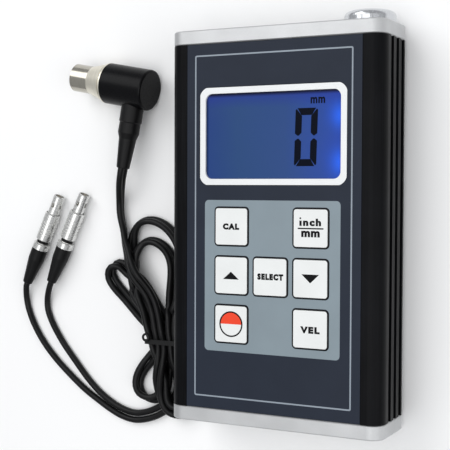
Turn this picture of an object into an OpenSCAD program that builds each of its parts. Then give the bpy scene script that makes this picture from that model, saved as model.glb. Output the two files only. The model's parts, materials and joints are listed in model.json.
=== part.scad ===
// Handheld ultrasonic thickness gauge with its dual-element probe and twin lead.
// The gauge lies on its back, and the probe and its lead lie beside it on the same surface.
// Millimetres. X runs across the gauge, Y up to the probe sockets, Z out of the front face.
// The origin is the middle of the back face.

/* [Housing] */
// Width across the housing
body_w = 70.5; // [69:0.5:80]
// Length over both end caps
body_l = 122; // [120:1:140]
// Depth from the back face to the front face
body_d = 23; // [22:0.5:30]
// Radius of the four long edges
edge_r = 4.4; // [3:0.1:6]
// Side wall of the tube
side_wall = 2; // [1.6:0.1:3]
// Front wall of the tube, panel recess included
front_wall = 2.4; // [2:0.1:3]
// Back wall of the tube, which holds the slot of the battery cover
back_wall = 3; // [2.8:0.1:4]

/* [Side grooves] */
// Grooves down each side
groove_count = 3; // [1:1:3]
// Width of a groove
groove_w = 2.4; // [1:0.1:3]
// Depth of a groove
groove_depth = 0.7; // [0.3:0.1:1]
// Distance between grooves
groove_pitch = 4.8; // [4:0.1:5]
// Height of the middle groove above the back face
groove_z = 10.7; // [10:0.1:13]

/* [End caps] */
// Thickness of an end cap
cap_t = 4.45; // [3:0.05:6]
// Chamfer round a cap's edges
cap_chamfer = 0.35; // [0.1:0.05:0.6]
// Width of a fixing lug
lug_w = 6.4; // [6:0.1:7]
// Length of a fixing lug inside the tube
lug_l = 7; // [6:0.5:9]
// Height of a fixing lug
lug_h = 9.2; // [8:0.1:9.6]
// Distance from the side of the housing to the middle of a lug
lug_inset = 7.25; // [6.5:0.05:7.5]
// Radius of a cap screw
cap_screw_r = 1.2; // [1:0.1:1.5]
// Length of a cap screw
cap_screw_l = 9; // [6:0.5:11]
// Radius of a cap screw's countersunk head
cap_head_r = 2.3; // [2:0.1:2.6]
// Height of the countersunk head
cap_head_t = 1.2; // [0.8:0.1:1.5]

/* [Front panel] */
// Width of the panel
panel_w = 57.8; // [52:0.1:60]
// Thickness of the panel and depth of its recess
panel_t = 0.6; // [0.3:0.1:0.8]
// Width of the frame round the display
frame_w = 48.6; // [47.6:0.1:50]
// Height of the frame
frame_h = 30.2; // [29.2:0.1:32]
// Outer corner radius of the frame
frame_r = 2.3; // [2:0.1:4]
// Width of the frame's border
frame_border = 2; // [1.6:0.1:2.6]
// Inner corner radius of the frame
frame_inner_r = 1.4; // [0.5:0.1:2]
// Distance from the tube's upper end to the middle of the display
display_drop = 28.55; // [27:0.05:30]
// Width of the display glass
glass_w = 46; // [42:0.5:46.5]
// Height of the display glass
glass_h = 28; // [26:0.5:28]
// Thickness of the display glass
glass_t = 1.8; // [1.2:0.1:2]
// Height of the backlight behind the glass
backlight_h = 22; // [18:0.5:23]
// Thickness of a rubber contact strip along the glass
contact_strip_w = 1.8; // [1:0.1:2]

/* [Keys] */
// Width of a key
key_w = 11.15; // [9:0.05:11.5]
// Height of a key
key_h = 11.55; // [9:0.05:12]
// Corner radius of a key
key_r = 1; // [0.5:0.1:2]
// Chamfer round the top of a key
key_chamfer = 0.2; // [0.1:0.05:0.4]
// Gap between a key and its hole
key_gap = 0.3; // [0.2:0.05:0.35]
// Distance between the columns of keys
key_pitch_x = 13.1; // [13:0.1:14]
// Distance between the rows of keys
key_pitch_y = 15; // [14:0.1:16]
// Distance from the tube's upper end to the middle of the top row
key_row_drop = 56.25; // [55:0.05:57]
// Height of a key above the front face
key_proud = 0.3; // [0.1:0.1:1]
// Travel of a key
key_travel = 0.4; // [0.2:0.05:0.5]
// Width of the flange that holds a key in
key_flange = 0.7; // [0.5:0.05:0.75]
// Thickness of the flange
key_flange_t = 0.9; // [0.6:0.1:1.2]
// Radius of the plunger under a key
plunger_r = 2; // [1:0.1:3]

/* [Circuit board] */
// Thickness of the board
board_t = 1.6; // [1:0.1:1.6]
// Gap between the battery tray and the board
board_lift = 0.75; // [0.4:0.05:1]
// Distance from the tube's upper end to the board
board_drop = 10.55; // [9:0.05:12]
// Distance from the tube's lower end to the board
board_rise = 6.55; // [5:0.05:9]
// Depth of the slots that hold the board's edges
slot_depth = 2; // [1:0.1:2]
// Thickness of the ribs beside the slots
rib_t = 1.2; // [0.8:0.1:1.5]
// Radius of a key dome
dome_r = 4; // [3:0.1:5]
// Height of a key dome
dome_h = 0.6; // [0.3:0.1:0.8]

/* [Battery bay] */
// Radius of a cell
cell_r = 5.25; // [5:0.05:5.3]
// Length of a cell, with its button
cell_l = 44.5; // [42:0.5:45]
// Radius of a cell's button
button_r = 1.9; // [1:0.1:2.5]
// Height of a cell's button
button_h = 0.8; // [0.5:0.1:1.2]
// Distance between cells
cell_pitch = 10.8; // [10.7:0.05:11]
// Room for the contacts, both ends together
contact_room = 3.4; // [3:0.1:4]
// Thickness of a contact plate
contact_t = 0.4; // [0.2:0.05:0.5]
// Wire of a contact spring
spring_wire = 0.5; // [0.3:0.05:0.6]
// Wall of the battery tray
tray_wall = 1; // [0.8:0.1:1.2]
// Gap between the tray and the lugs of the bottom cap
tray_gap = 0.6; // [0.3:0.1:1.5]
// Width of a contact plate
contact_plate = 8; // [6:0.5:9]

/* [Battery cover] */
// Thickness of the lips that hold the cover
lip_t = 1; // [0.8:0.1:1.2]
// Width of the lips
lip_w = 2; // [1.2:0.1:2.2]
// Height of the slot above the lips
slot_h = 1.2; // [1:0.1:1.4]
// Depth of the cover below the back face
cover_sink = 0.2; // [0.1:0.05:0.4]
// Reach of the cover past the tray
cover_lap = 0.8; // [0.4:0.1:1]
// Grip grooves across the cover
grip_count = 6; // [3:1:8]
// Width of a grip groove
grip_w = 1; // [0.6:0.1:1.4]
// Length of a grip groove
grip_l = 18; // [10:1:30]
// Distance from the cover's outer end to its first grip groove
grip_inset = 8; // [5:1:12]

/* [Top fittings] */
// Middle of the left socket across the gauge
socket_x = -17; // [-18:0.5:-15]
// Distance between the sockets
socket_pitch = 14; // [12:0.5:15]
// Radius of a socket's bore
socket_bore_r = 2.2; // [2.15:0.05:2.5]
// Depth of a socket's bore
socket_bore_l = 7.2; // [6:0.1:8]
// Radius of a socket's barrel
socket_barrel_r = 3.2; // [3:0.1:3.5]
// Radius of a socket's flange
socket_flange_r = 4.1; // [3.9:0.1:5]
// Thickness of a socket's flange
socket_flange_t = 1.1; // [0.6:0.1:1.3]
// Length of a socket inside the cap
socket_tail = 6; // [5:0.5:7]
// Width of a socket nut across its flats
socket_nut_w = 8.4; // [8:0.1:9]
// Thickness of a socket nut
socket_nut_t = 2; // [1.5:0.1:3]
// Step at the bottom of a socket's bore
socket_step = 0.4; // [0.3:0.05:0.6]
// Radius of a socket's centre contact
contact_r = 0.45; // [0.3:0.05:0.6]
// Length of a contact behind its socket
solder_tail = 2.5; // [1:0.5:3]
// Radius of the calibration disc
disc_r = 7.8; // [6:0.1:8]
// Height of the disc
disc_h = 3.8; // [3:0.1:5]
// Height of the disc's straight side
disc_side_h = 2; // [1:0.1:2.4]
// Radius of the disc's flat top
disc_top_r = 5.6; // [4:0.1:5.9]
// Distance from the side of the housing to the middle of the disc
disc_inset = 8.7; // [8.4:0.1:12]
// Height of the middle of the disc above the back face
disc_z = 10.3; // [9:0.1:12]
// Radius of the stud under the disc
disc_stud_r = 1.5; // [1:0.1:2]
// Length of the stud
disc_stud_l = 3; // [2:0.1:3]

/* [Probe] */
// Radius of the probe's body
probe_r = 6.9; // [6.5:0.1:8]
// Length of the probe's body
probe_body_l = 16.5; // [14:0.5:20]
// Wall of the probe's body
probe_wall = 1; // [0.8:0.1:1.2]
// Edge radius at the closed end of the body
probe_edge_r = 0.6; // [0.3:0.1:0.9]
// Radius of the nose
nose_r = 4.75; // [4.5:0.05:5.5]
// Length of the nose
nose_l = 7; // [4:0.5:9]
// Length of the cone behind the nose
cone_l = 6.9; // [5:0.1:9]
// Wall of the nose
nose_wall = 0.95; // [0.7:0.05:1.2]
// Length of the nose's spigot in the body
spigot_l = 3.6; // [3:0.1:5]
// Thickness of the sound barrier between the two halves
barrier_t = 0.5; // [0.3:0.1:0.8]
// Thickness of a crystal
crystal_t = 0.5; // [0.3:0.1:0.8]
// Distance from the body's front to the middle of the boot
boot_at = 10.6; // [9:0.1:11.5]
// Radius of the boot where it leaves the body
boot_r = 3.85; // [3.4:0.05:4.2]
// Radius of the boot's plug in the body
boot_plug_r = 2.4; // [2:0.1:2.6]
// Radius of the boot's end
boot_tip_r = 2.25; // [2.25:0.05:2.5]
// Reach of the boot from the probe's axis
boot_reach = 27.5; // [24:0.5:32]
// Turn of the probe on the surface
probe_angle = -10.8; // [-20:0.1:0]

/* [Plugs] */
// Radius of a plug's nose
plug_nose_r = 2.05; // [1.9:0.05:2.1]
// Length of a plug's nose
plug_nose_l = 6.9; // [5:0.1:8]
// Wall of the nose
plug_nose_wall = 0.4; // [0.3:0.05:0.5]
// Distance from the tip to the insulator in the nose
insulator_start = 5.2; // [4.8:0.1:5.6]
// Length of the insulator
insulator_l = 2.4; // [1:0.1:2.4]
// Radius of the centre pin
pin_r = 0.45; // [0.3:0.05:0.6]
// Radius of the release sleeve
sleeve_r = 2.8; // [2.75:0.05:2.9]
// Length of the release sleeve
sleeve_l = 10.4; // [8:0.1:12]
// Gap between the sleeve and the barrel inside it
sleeve_gap = 0.3; // [0.2:0.05:0.35]
// Travel of the release sleeve
sleeve_travel = 1.2; // [0.5:0.1:1.5]
// Radius of the collet nut
plug_nut_r = 2.95; // [2.9:0.05:3.2]
// Length of the collet nut
plug_nut_l = 2.2; // [1.5:0.1:3]
// Length of the rubber boot
plug_boot_l = 13.8; // [10:0.1:18]
// Radius of the boot at the nut
plug_boot_r = 2.85; // [2.5:0.05:2.9]
// Radius of the boot at the cable
plug_boot_tip_r = 1.7; // [1.4:0.05:2]
// Turn of the plugs on the surface
plug_angle = -114.7; // [-130:0.1:-100]

/* [Lead] */
// Diameter of each of the two cables
cable_d = 2.2; // [2:0.1:2.2]
// Height of the folded hank
hank_h = 6.8; // [6:0.1:8]
// Thickness of the tie's strip
tie_t = 0.6; // [0.4:0.1:0.8]
// Width of the tie's strip
tie_w = 1.6; // [1.2:0.1:3]

/* [Fits] */
// Clearance of pieces that drop into each other
fit_gap = 0.15; // [0.1:0.01:0.2]
// Clearance of the battery cover in its slot
slide_gap = 0.15; // [0.1:0.01:0.2]
// Clearance round a cell
cell_gap = 0.25; // [0.15:0.01:0.3]
// Clearance of a screw in its hole
screw_gap = 0.1; // [0.05:0.01:0.15]

/* [Hidden] */
$fn = 96;

// Housing and front stack, from the back face up
tube_l = body_l - 2 * cap_t;
tube_end = tube_l / 2;
cavity_w = body_w - 2 * side_wall;
cavity_top = body_d - front_wall;
cavity_r = max(edge_r - side_wall, 0.5);
panel_seat = body_d - panel_t;
display_y = tube_end - display_drop;
key_row_y = tube_end - key_row_drop;
glass_top = panel_seat - fit_gap;
glass_z = glass_top - glass_t;

// Battery bay, from the cover up
cell_count = 4;
cover_top = lip_t + slot_h - slide_gap;
cell_z = cover_top + cell_gap + cell_r;
cells_w = (cell_count - 1) * cell_pitch + 2 * cell_r;
tray_in_w = cells_w + 4 * cell_gap;
tray_in_l = cell_l + contact_room;
tray_l = tray_in_l + 2 * tray_wall;
tray_y = -tube_end + lug_l + tray_gap + tray_l / 2;
tray_roof = cell_z + cell_r + cell_gap;
bay_w = cells_w + 2 * cell_gap;
bay_l = tray_in_l - 2 * cell_gap;
slot_w = bay_w + 2 * lip_w;
cover_end = tray_y + tray_l / 2 + cover_lap;
spring_l = contact_room - 2 * contact_t;

// Circuit board, over the battery tray
board_z = tray_roof + tray_wall + board_lift;
board_top = board_z + board_t;
board_w = cavity_w - 2 * fit_gap;
board_l = tube_l - board_drop - board_rise;
board_top_y = tube_end - board_drop;

// Processor, display driver and pulse transformer under the board,
// each as [left side, distance from the board's upper end, width, length, height]
CHIPS = [[-18, 18, 12, 12, 1.6], [6, 16, 10, 6, 1.6], [-4, 30, 8, 8, 5]];

// Keys as [column, row], where column 0 is the middle
KEY_CAL = [-1, 0];
KEY_UNIT = [1, 0];
KEY_UP = [-1, 1];
KEY_SELECT = [0, 1];
KEY_DOWN = [1, 1];
KEY_POWER = [-1, 2];
KEY_VELOCITY = [1, 2];
KEYS = [KEY_CAL, KEY_UNIT, KEY_UP, KEY_SELECT, KEY_DOWN, KEY_POWER, KEY_VELOCITY];
key_hole_w = key_w + 2 * key_gap;
key_hole_h = key_h + 2 * key_gap;
key_flange_top = cavity_top - fit_gap;
plunger_end = board_top + dome_h + key_travel + fit_gap;

// Caps
lug_x = body_w / 2 - lug_inset;
lug_z = back_wall + fit_gap;
screw_y = tube_end - lug_l / 2;
disc_x = body_w / 2 - disc_inset;
socket_z = body_d / 2;
socket_mouth = body_l / 2 + socket_flange_t;
socket_l = socket_flange_t + cap_t + socket_tail;
socket_core_r = socket_bore_r - socket_step;

// Probe: lengths run from the tip of the nose along its axis
probe_place = [-81.8, 50.4];
probe_front = nose_l + cone_l;
probe_back = probe_front + probe_body_l;
nose_bore_r = nose_r - nose_wall;
probe_bore_r = probe_r - probe_wall;
delay_r = nose_bore_r - screw_gap;
delay_l = nose_l + cone_l - 1.4;
boot_s = probe_front + boot_at;

// Plugs: lengths run from the tip along the axis
plug_1_tip = [-92.1, 9];
plug_2_tip = [-81.4, 9.7];
plug_barrel_r = sleeve_r - 0.55 - sleeve_gap;
sleeve_end = plug_nose_l + sleeve_l;
plug_nut_start = sleeve_end + sleeve_travel + fit_gap;
plug_boot_start = plug_nut_start + plug_nut_l;
plug_l = plug_boot_start + plug_boot_l;
plug_bore_r = plug_nose_r - plug_nose_wall;

// Routes of the two cables: each starts or ends on the face that it leaves
cable_z = cable_d / 2 + 0.05;
cable_side = cable_d / 2 + 0.03;
boot_end = along_probe(boot_s, boot_reach);
boot_out = along_probe(boot_s, boot_reach + 1) - boot_end;
lead_1_route = [
    boot_end + [0, 0, cable_side],
    boot_end + boot_out + [0, 0, cable_side],
    [-63.75, 14.3, 7.35], [-65.6, 9.3, 5.35], [-66.5, 5, 3.3], [-66.35, 1, 1.75],
    [-65.45, -3, 1.25], [-64.35, -6.5, 1.65]
];
lead_2_route = [
    boot_end - [0, 0, cable_side],
    boot_end + boot_out - [0, 0, cable_side],
    [-63.7, 14.3, 4.9], [-64.15, 9.3, 3.1], [-64.4, 5, 1.9], [-64, 1, 1.25],
    [-63.05, -3, 1.2], [-61.95, -6.5, 1.65]
];
plug_1_end = along_plug(plug_1_tip, plug_l);
plug_2_end = along_plug(plug_2_tip, plug_l);
plug_out = along_plug(plug_1_tip, plug_l + 1) - plug_1_end;
tail_1_route = [
    [-49, -64.2, cable_z], [-52.4, -66.2, cable_z], [-57, -67.9, cable_z], [-62, -68.6, cable_z],
    [-67.3, -67.6, cable_z],
    [-72, -65.6, cable_z], [-77.2, -62.8, cable_z], [-82.5, -59.7, cable_z], [-88.6, -55.2, cable_z],
    [-95.2, -49.7, cable_z], [-100.7, -43.9, cable_z], [-105.2, -37.2, cable_z], [-107.5, -31.8, cable_z],
    [-107.9, -28.5, 1.6], [-107.5, -25.6, 2.4],
    plug_1_end + plug_out, plug_1_end
];
tail_2_route = [
    [-49.6, -61.6, cable_z], [-53.2, -63.8, cable_z], [-57.2, -65.4, cable_z], [-61.7, -66.1, cable_z],
    [-66.7, -65.15, cable_z], [-70.9, -63.4, cable_z], [-76, -60.3, cable_z], [-80.9, -56.1, cable_z], [-87, -49.5, cable_z],
    [-92.1, -43.6, cable_z], [-96.7, -36.8, cable_z], [-98.7, -32.1, cable_z],
    [-98.6, -28.3, 1.6], [-97.5, -25.2, 2.4],
    plug_2_end + plug_out, plug_2_end
];

// Hank: loops that spread from the tied waist, each as [middle, radius] of its round end
waist = [-47.6, -40];
waist_r = 6.6;
hank_loops = [[[-54.6, -9.2], 11.4], [[-66.8, -20], 6.8], [[-55.2, -55.3], 6.8], [[-45, -61], 6.6]];
tie_core_w = 2 * waist_r - 2 * tie_t;
tie_eye_r = 1.1;
tie_eye_at = 5.9;
tie_wire_r = 0.4;

// A point of the probe: s along its axis from the nose, v out along the boot
function along_probe(s, v) = [
    probe_place[0] + s * cos(probe_angle) + v * sin(probe_angle),
    probe_place[1] + s * sin(probe_angle) - v * cos(probe_angle),
    probe_r
];

// A point on the axis of a plug, s from its tip
function along_plug(tip, s) = [tip[0] + s * cos(plug_angle), tip[1] + s * sin(plug_angle), plug_nut_r];

function unit(v) = v / norm(v);
function tangent(path, i) = unit(path[min(i + 1, len(path) - 1)] - path[max(i - 1, 0)]);
function ring(middle, t, r, sides) =
    let (across = unit(cross([0, 0, 1], t)), up = cross(t, across))
    [for (k = [0 : sides - 1]) middle + r * (cos(360 * k / sides) * across + sin(360 * k / sides) * up)];

// Round tube along a path of points
module sweep(path, r, sides) {
    rows = len(path) - 1;
    points = [for (i = [0 : rows]) each ring(path[i], tangent(path, i), r, sides)];
    wall = [
        for (i = [0 : rows - 1], k = [0 : sides - 1])
            let (a = i * sides + k, b = i * sides + (k + 1) % sides)
            each [[a, b + sides, b], [a, a + sides, b + sides]]
    ];
    start = [for (k = [0 : sides - 1]) k];
    end = [for (k = [sides - 1 : -1 : 0]) rows * sides + k];
    polyhedron(points, concat(wall, [start, end]));
}

// Rounded rectangle, centred
module rounded(w, h, r) {
    square([w - 2 * r, h], center = true);
    square([w, h - 2 * r], center = true);
    for (x = [-1, 1], y = [-1, 1])
        translate([x * (w / 2 - r), y * (h / 2 - r)]) circle(r);
}

// Half section of a plate of thickness t: chamfered by low at the bottom and high at the top
function plate_edge(reach, t, low, high) = [
    [0, 0], [reach - low, 0], [reach, low], [reach, t - high], [reach - high, t], [0, t]
];

// Rounded rectangular plate with chamfered edges
module soft_plate(w, h, r, t, low, high) {
    for (x = [-1, 1], y = [-1, 1])
        translate([x * (w / 2 - r), y * (h / 2 - r), 0])
            rotate_extrude() polygon(plate_edge(r, t, low, high));
    rotate([90, 0, 90]) linear_extrude(w - 2 * r, center = true) {
        polygon(plate_edge(h / 2, t, low, high));
        mirror([1, 0]) polygon(plate_edge(h / 2, t, low, high));
    }
    rotate([90, 0, 0]) linear_extrude(h - 2 * r, center = true) {
        polygon(plate_edge(w / 2, t, low, high));
        mirror([1, 0]) polygon(plate_edge(w / 2, t, low, high));
    }
}

// A shape drawn in X and Z, extruded along Y from start
module along_y(start, length) {
    translate([0, start + length, 0]) rotate([90, 0, 0]) linear_extrude(length) children();
}

// A shape turned about its own Z axis, laid along +X
module along_x() {
    rotate([90, 0, 90]) children();
}

module tube_section() {
    difference() {
        translate([0, body_d / 2]) rounded(body_w, body_d, edge_r);
        translate([0, (back_wall + cavity_top) / 2]) rounded(cavity_w, cavity_top - back_wall, cavity_r);
        for (x = [-1, 1], k = [0 : groove_count - 1])
            translate([x * body_w / 2, groove_z + (k - (groove_count - 1) / 2) * groove_pitch])
                square([2 * groove_depth, groove_w], center = true);
    }
    for (x = [-1, 1], z = [board_z - fit_gap - rib_t / 2, board_top + fit_gap + rib_t / 2])
        translate([x * (cavity_w / 2 - slot_depth / 2 + side_wall / 4), z])
            square([slot_depth + side_wall / 2, rib_t], center = true);
}

module at_key(key) {
    translate([key[0] * key_pitch_x, key_row_y - key[1] * key_pitch_y, 0]) children();
}

module key_hole() {
    rounded(key_hole_w, key_hole_h, key_r + key_gap);
}

// Each of the four cap screws, two on each cap
module at_cap_screws() {
    for (x = [-1, 1], y = [-1, 1])
        translate([x * lug_x, y * screw_y, 0]) children();
}

// Hole and countersink that leave the head just below the back face
module cap_screw_hole() {
    translate([0, 0, -1]) cylinder(h = body_d / 2, r = cap_screw_r + screw_gap);
    translate([0, 0, fit_gap])
        cylinder(h = cap_head_t, r1 = cap_head_r + screw_gap, r2 = cap_screw_r + screw_gap);
    translate([0, 0, -1]) cylinder(h = 1 + fit_gap, r = cap_head_r + screw_gap);
}

module housing() {
    color("#17181b") difference() {
        along_y(-tube_end, tube_l) tube_section();
        translate([-panel_w / 2, -body_l / 2, panel_seat]) cube([panel_w, body_l, body_d]);
        translate([0, display_y, cavity_top - 1])
            linear_extrude(front_wall + 2) square([glass_w + 2 * fit_gap, glass_h + 2 * fit_gap], center = true);
        for (key = KEYS)
            at_key(key) translate([0, 0, cavity_top - 1]) linear_extrude(front_wall + 2) key_hole();
        translate([-bay_w / 2, tray_y - bay_l / 2, -1]) cube([bay_w, bay_l, back_wall + 2]);
        translate([-bay_w / 2, -body_l / 2, -1]) cube([bay_w, body_l / 2 + cover_end + slide_gap, lip_t + 1.1]);
        translate([-slot_w / 2, -body_l / 2, lip_t]) cube([slot_w, body_l / 2 + cover_end + slide_gap, slot_h]);
        at_cap_screws() cap_screw_hole();
    }
}

// Plate of an end cap, with its inner face on the tube
module cap_plate(outer_y) {
    translate([0, outer_y, body_d / 2]) rotate([90, 0, 0])
        soft_plate(body_w, body_d, edge_r, cap_t, cap_chamfer, cap_chamfer);
}

module cap_lugs(inner_y, way) {
    for (x = [-1, 1])
        translate([x * lug_x - lug_w / 2, inner_y - (way > 0 ? lug_l : 0), lug_z]) cube([lug_w, lug_l, lug_h]);
}

module at_sockets() {
    for (k = [0, 1])
        translate([socket_x + k * socket_pitch, socket_mouth, socket_z]) rotate([90, 0, 0]) children();
}

module at_socket(k) {
    translate([socket_x + k * socket_pitch, socket_mouth, socket_z]) rotate([90, 0, 0]) children();
}

module top_cap() {
    color("#d9dadb") difference() {
        union() {
            cap_plate(body_l / 2);
            cap_lugs(tube_end, 1);
        }
        at_sockets() cylinder(h = socket_l + 1, r = socket_barrel_r + screw_gap);
        translate([disc_x, body_l / 2 - disc_stud_l - fit_gap, disc_z])
            rotate([-90, 0, 0]) cylinder(h = disc_stud_l + 1, r = disc_stud_r + screw_gap);
        at_cap_screws() cap_screw_hole();
    }
}

module bottom_cap() {
    color("#d9dadb") difference() {
        union() {
            cap_plate(-tube_end);
            cap_lugs(-tube_end, -1);
        }
        translate([-slot_w / 2 - slide_gap, -body_l, -1])
            cube([slot_w + 2 * slide_gap, body_l - tube_end + 1, lip_t + slot_h + 1]);
        at_cap_screws() cap_screw_hole();
    }
}

module cap_screws() {
    color("#8f9194") at_cap_screws() difference() {
        translate([0, 0, fit_gap]) {
            cylinder(h = cap_head_t, r1 = cap_head_r, r2 = cap_screw_r);
            cylinder(h = cap_screw_l, r = cap_screw_r);
        }
        for (turn = [0, 90])
            rotate([0, 0, turn]) cube([0.6, 2.4, 1.6], center = true);
    }
}

module front_panel() {
    color("#31373f") translate([0, 0, panel_seat]) linear_extrude(panel_t) difference() {
        square([panel_w - 2 * fit_gap, tube_l - 2 * fit_gap], center = true);
        translate([0, display_y]) rounded(frame_w, frame_h, frame_r);
        for (key = KEYS) at_key(key) key_hole();
    }
}

// White frame that covers the edges of the display glass
module lcd_frame() {
    color("#f1f2f3") translate([0, display_y, panel_seat]) linear_extrude(panel_t) difference() {
        rounded(frame_w - 2 * fit_gap, frame_h - 2 * fit_gap, frame_r - fit_gap);
        rounded(frame_w - 2 * frame_border, frame_h - 2 * frame_border, frame_inner_r);
    }
}

module lcd_glass() {
    color("#2f5391") translate([-glass_w / 2, display_y - glass_h / 2, glass_z])
        cube([glass_w, glass_h, glass_t]);
}

module lcd_backlight() {
    color("#eef0f2") translate([-glass_w / 2, display_y - backlight_h / 2, board_top])
        cube([glass_w, backlight_h, glass_z - board_top]);
}

module lcd_connectors() {
    color("#d66a8a") for (y = [-1, 1])
        translate([-glass_w / 2 + 1, display_y + y * (glass_h - contact_strip_w - 1) / 2 - contact_strip_w / 2, board_top])
            cube([glass_w - 2, contact_strip_w, glass_z - board_top]);
}

module key_cap(key) {
    color("#f0f1f2") at_key(key) {
        cap_base = key_flange_top;
        translate([0, 0, cap_base])
            soft_plate(key_w, key_h, key_r, body_d + key_proud - cap_base, 0, key_chamfer);
        translate([0, 0, key_flange_top - key_flange_t]) linear_extrude(key_flange_t)
            rounded(key_w + 2 * key_flange, key_h + 2 * key_flange, key_r + key_flange);
        translate([0, 0, plunger_end]) cylinder(h = key_flange_top - plunger_end, r = plunger_r);
    }
}

module circuit_board() {
    color("#2c6b45") translate([-board_w / 2, board_top_y - board_l, board_z]) cube([board_w, board_l, board_t]);
}

module chips() {
    color("#232323") for (chip = CHIPS)
        translate([chip[0], board_top_y - chip[1], board_z - chip[4]]) cube([chip[2], chip[3], chip[4]]);
}

module key_domes() {
    color("#c9c9c4") for (key = KEYS)
        at_key(key) translate([0, 0, board_top]) cylinder(h = dome_h, r1 = dome_r, r2 = dome_r / 2);
}

module battery_tray() {
    color("#26272a") difference() {
        translate([-tray_in_w / 2 - tray_wall, tray_y - tray_l / 2, back_wall])
            cube([tray_in_w + 2 * tray_wall, tray_l, tray_roof + tray_wall - back_wall]);
        translate([-tray_in_w / 2, tray_y - tray_in_l / 2, 0]) cube([tray_in_w, tray_in_l, tray_roof]);
    }
}

function cell_x(k) = (k - (cell_count - 1) / 2) * cell_pitch;

// Ways that the cells point: up the gauge or down it, turn by turn
function cell_way(k) = k % 2 == 0 ? 1 : -1;

// Middle of a cell along the gauge: its button meets one plate, its spring the other
function cell_y(k) = tray_y + cell_way(k) * spring_l / 2;

module cell(k) {
    color("#3a6ea5")
        translate([cell_x(k), cell_y(k), cell_z]) rotate([-90 * cell_way(k), 0, 0])
            translate([0, 0, -cell_l / 2]) {
                cylinder(h = cell_l - button_h, r = cell_r);
                cylinder(h = cell_l, r = button_r);
            }
}

// One plate behind each end of each cell
module battery_contacts() {
    color("#c8c2a6") for (k = [0 : cell_count - 1], y = [-1, 1])
        translate([cell_x(k), tray_y + y * (tray_in_l - contact_t) / 2, cell_z])
            cube([contact_plate, contact_t, contact_plate], center = true);
}

// Conical spring at the flat end of each cell
module battery_springs() {
    turns = 3;
    steps = 12;
    wide = 3.6;
    narrow = 2.4;
    rise = spring_l - spring_wire;
    coil = [
        for (i = [0 : turns * steps])
            let (f = i / (turns * steps), r = wide + f * (narrow - wide))
            [r * cos(360 * i / steps), r * sin(360 * i / steps), spring_wire / 2 + f * rise]
    ];
    color("#c9c9c4") for (k = [0 : cell_count - 1])
        translate([cell_x(k), tray_y - cell_way(k) * (tray_in_l / 2 - contact_t), cell_z])
            rotate([-90 * cell_way(k), 0, 0]) sweep(coil, spring_wire / 2, 6);
}

module battery_cover() {
    land_w = bay_w - 2 * slide_gap;
    tongue_w = slot_w - 2 * slide_gap;
    split = lip_t + slide_gap;
    cover_l = body_l / 2 + cover_end;
    color("#1b1c1f") difference() {
        along_y(-body_l / 2, cover_l) {
            translate([-land_w / 2, cover_sink]) square([land_w, split - cover_sink + 0.01]);
            translate([-tongue_w / 2, split]) square([tongue_w, cover_top - split]);
        }
        for (k = [0 : grip_count - 1])
            translate([-grip_l / 2, -body_l / 2 + grip_inset + 2 * k * grip_w, cover_sink - 1]) cube([grip_l, grip_w, 1.4]);
    }
}

// Straight side, then a rounded shoulder up to the flat top
module zero_disc() {
    shoulder = 8;
    profile = concat(
        [[0, 0], [disc_r, 0]],
        [
            for (i = [0 : shoulder])
                let (a = 90 * i / shoulder)
                [disc_top_r + (disc_r - disc_top_r) * cos(a), disc_side_h + (disc_h - disc_side_h) * sin(a)]
        ],
        [[0, disc_h]]
    );
    color("#d5d7da") translate([disc_x, body_l / 2, disc_z]) rotate([-90, 0, 0]) {
        rotate_extrude() polygon(profile);
        translate([0, 0, -disc_stud_l]) cylinder(h = disc_stud_l, r = disc_stud_r);
    }
}

// Lengths run in from the mouth
module socket(k) {
    mouth_chamfer = 0.3;
    color("#cfd1d4") at_socket(k) rotate_extrude() polygon([
        [socket_bore_r + mouth_chamfer, 0], [socket_flange_r - mouth_chamfer, 0],
        [socket_flange_r, mouth_chamfer], [socket_flange_r, socket_flange_t],
        [socket_barrel_r, socket_flange_t], [socket_barrel_r, socket_l],
        [socket_core_r, socket_l], [socket_core_r, socket_bore_l],
        [socket_bore_r, socket_bore_l], [socket_bore_r, mouth_chamfer]
    ]);
}

module socket_nuts() {
    nut_start = socket_flange_t + cap_t;
    color("#c8b87a") at_sockets() translate([0, 0, nut_start]) difference() {
        cylinder(h = socket_nut_t, r = socket_nut_w / 2 / cos(30), $fn = 6);
        translate([0, 0, -1]) cylinder(h = socket_nut_t + 2, r = socket_barrel_r + screw_gap / 2);
    }
}

module socket_insulators() {
    color("#f2f2ee") at_sockets() translate([0, 0, socket_bore_l]) difference() {
        cylinder(h = socket_l - socket_bore_l, r = socket_core_r);
        translate([0, 0, -1]) cylinder(h = socket_l, r = contact_r);
    }
}

module socket_contacts() {
    color("#d4b45a") at_sockets() translate([0, 0, socket_bore_l])
        cylinder(h = socket_l - socket_bore_l + solder_tail, r = contact_r);
}

// Pieces of the probe are drawn along +X from the tip of the nose, with the boot towards -Y
module at_probe() {
    translate([probe_place[0], probe_place[1], probe_r]) rotate([0, 0, probe_angle]) children();
}

module probe_turned(outline) {
    along_x() rotate_extrude() polygon(outline);
}

module probe_rod(start, length, r) {
    translate([start, 0, 0]) along_x() cylinder(h = length, r = r);
}

module probe_nose() {
    tip = 0.25;
    ring_l = 0.5;
    groove = 0.4;
    color("#d3d2cc") at_probe() probe_turned([
        [nose_bore_r, 0], [nose_r - tip, 0], [nose_r, tip], [nose_r, nose_l],
        [probe_r - groove, probe_front - 2 * ring_l], [probe_r - 2 * groove, probe_front - 2 * ring_l],
        [probe_r - 2 * groove, probe_front - ring_l], [probe_r, probe_front - ring_l],
        [probe_r, probe_front], [probe_bore_r - screw_gap, probe_front],
        [probe_bore_r - screw_gap, probe_front + spigot_l], [nose_bore_r, probe_front + spigot_l]
    ]);
}

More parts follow.
